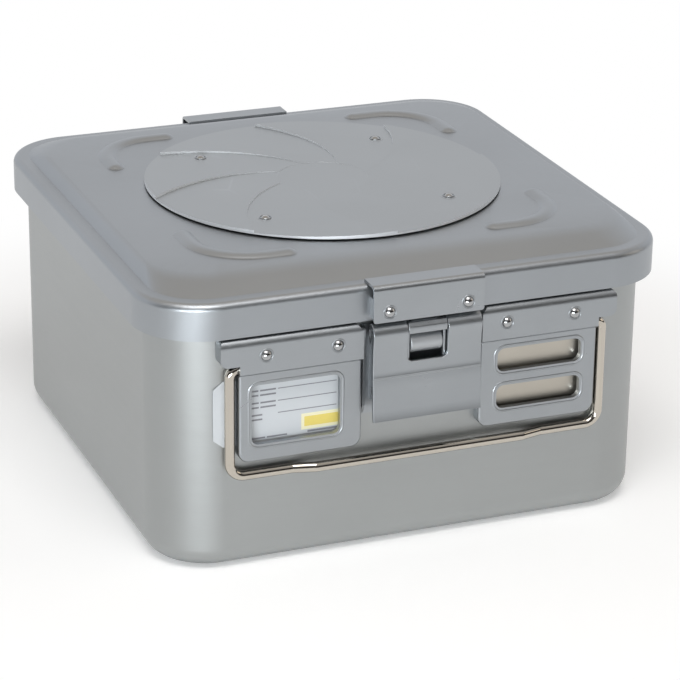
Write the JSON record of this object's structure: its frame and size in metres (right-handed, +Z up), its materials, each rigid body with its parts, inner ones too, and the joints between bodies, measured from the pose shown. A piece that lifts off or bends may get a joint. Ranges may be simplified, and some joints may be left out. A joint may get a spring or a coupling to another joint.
{
  "type": "sterilization container",
  "caption": "Box with rounded corners and a stepped lid for instruments in steam sterilization, with latches, hanging wire handles, label holders and a filter under a swirl cover.",
  "frame": {"origin": "centre of the bottom of the overall box, on the supporting surface", "axes": "+Z up, the label side faces -Y, +X to the right of a viewer who faces the labels"},
  "size_m": [0.299, 0.316, 0.1649],
  "materials": {
    "body": "fine brushed, anodised",
    "lid": "matte, bead blasted",
    "fittings": "satin",
    "pins": "polished heads",
    "backing": "bright rolled",
    "handle": "polished",
    "gasket": "soft silicone, grey",
    "card": "printed card",
    "paper": "filter paper"
  },
  "bodies": {
    "pan": {"body_pan": "body", "front_latch_base": "fittings", "front_base_rivets": "pins", "front_hook_pin": "pins", "front_card_holder": "fittings", "front_tag_holder": "fittings", "front_handle_rails": "fittings", "front_holder_rivets": "pins", "front_label_card": "card", "front_tag_backing": "backing", "rear_latch_base": "fittings", "rear_base_rivets": "pins", "rear_hook_pin": "pins", "rear_card_holder": "fittings", "rear_tag_holder": "fittings", "rear_handle_rails": "fittings", "rear_holder_rivets": "pins", "rear_label_card": "card", "rear_tag_backing": "backing"},
    "lid": {"lid_shell": "lid", "lid_gasket": "gasket", "filter_cover": "lid", "cover_spacers": "pins", "cover_rivets": "pins", "filter_sheet": "paper", "filter_retainer": "fittings", "filter_stud": "pins", "front_lid_bracket": "fittings", "front_bracket_rivets": "pins", "front_lid_catch": "fittings", "rear_lid_bracket": "fittings", "rear_bracket_rivets": "pins", "rear_lid_catch": "fittings"},
    "filter_knob": {"filter_knob": "fittings"},
    "front_lever": {"front_latch_lever": "fittings", "front_lever_pins": "pins"},
    "front_hook": {"front_hook_plate": "fittings"},
    "front_handle": {"front_handle": "handle"},
    "rear_lever": {"rear_latch_lever": "fittings", "rear_lever_pins": "pins"},
    "rear_hook": {"rear_hook_plate": "fittings"},
    "rear_handle": {"rear_handle": "handle"}
  },
  "joints": [
    {"name": "lid_lift", "type": "slide", "parent": "pan", "child": "lid", "axis": [0, 0, 1], "range_m": [0, 0.016]},
    {"name": "filter_lock", "type": "hinge", "parent": "lid", "child": "filter_knob", "pos_m": [0, 0, 0.1559], "axis": [0, 0, 1], "range_deg": [0, 90]},
    {"name": "front_lever_swing", "type": "hinge", "parent": "pan", "child": "front_lever", "pos_m": [0, -0.1495, 0.128], "axis": [-1, 0, 0], "range_deg": [0, 120]},
    {"name": "front_hook_swing", "type": "hinge", "parent": "pan", "child": "front_hook", "pos_m": [0, -0.1485, 0.0945], "axis": [1, 0, 0], "range_deg": [0, 24]},
    {"name": "front_handle_swing", "type": "hinge", "parent": "pan", "child": "front_handle", "pos_m": [0, -0.1444, 0.1162], "axis": [-1, 0, 0], "range_deg": [0, 90]},
    {"name": "rear_lever_swing", "type": "hinge", "parent": "pan", "child": "rear_lever", "pos_m": [0, 0.1495, 0.128], "axis": [1, 0, 0], "range_deg": [0, 120]},
    {"name": "rear_hook_swing", "type": "hinge", "parent": "pan", "child": "rear_hook", "pos_m": [0, 0.1485, 0.0945], "axis": [-1, 0, 0], "range_deg": [0, 24]},
    {"name": "rear_handle_swing", "type": "hinge", "parent": "pan", "child": "rear_handle", "pos_m": [0, 0.1444, 0.1162], "axis": [1, 0, 0], "range_deg": [0, 90]}
  ],
  "couplings": [
    {"joint": "front_lever_swing", "follows": "lid_lift", "rad_per_m": 130.89},
    {"joint": "front_hook_swing", "follows": "lid_lift", "rad_per_m": 26.17},
    {"joint": "rear_lever_swing", "follows": "lid_lift", "rad_per_m": 130.89},
    {"joint": "rear_hook_swing", "follows": "lid_lift", "rad_per_m": 26.17}
  ]
}
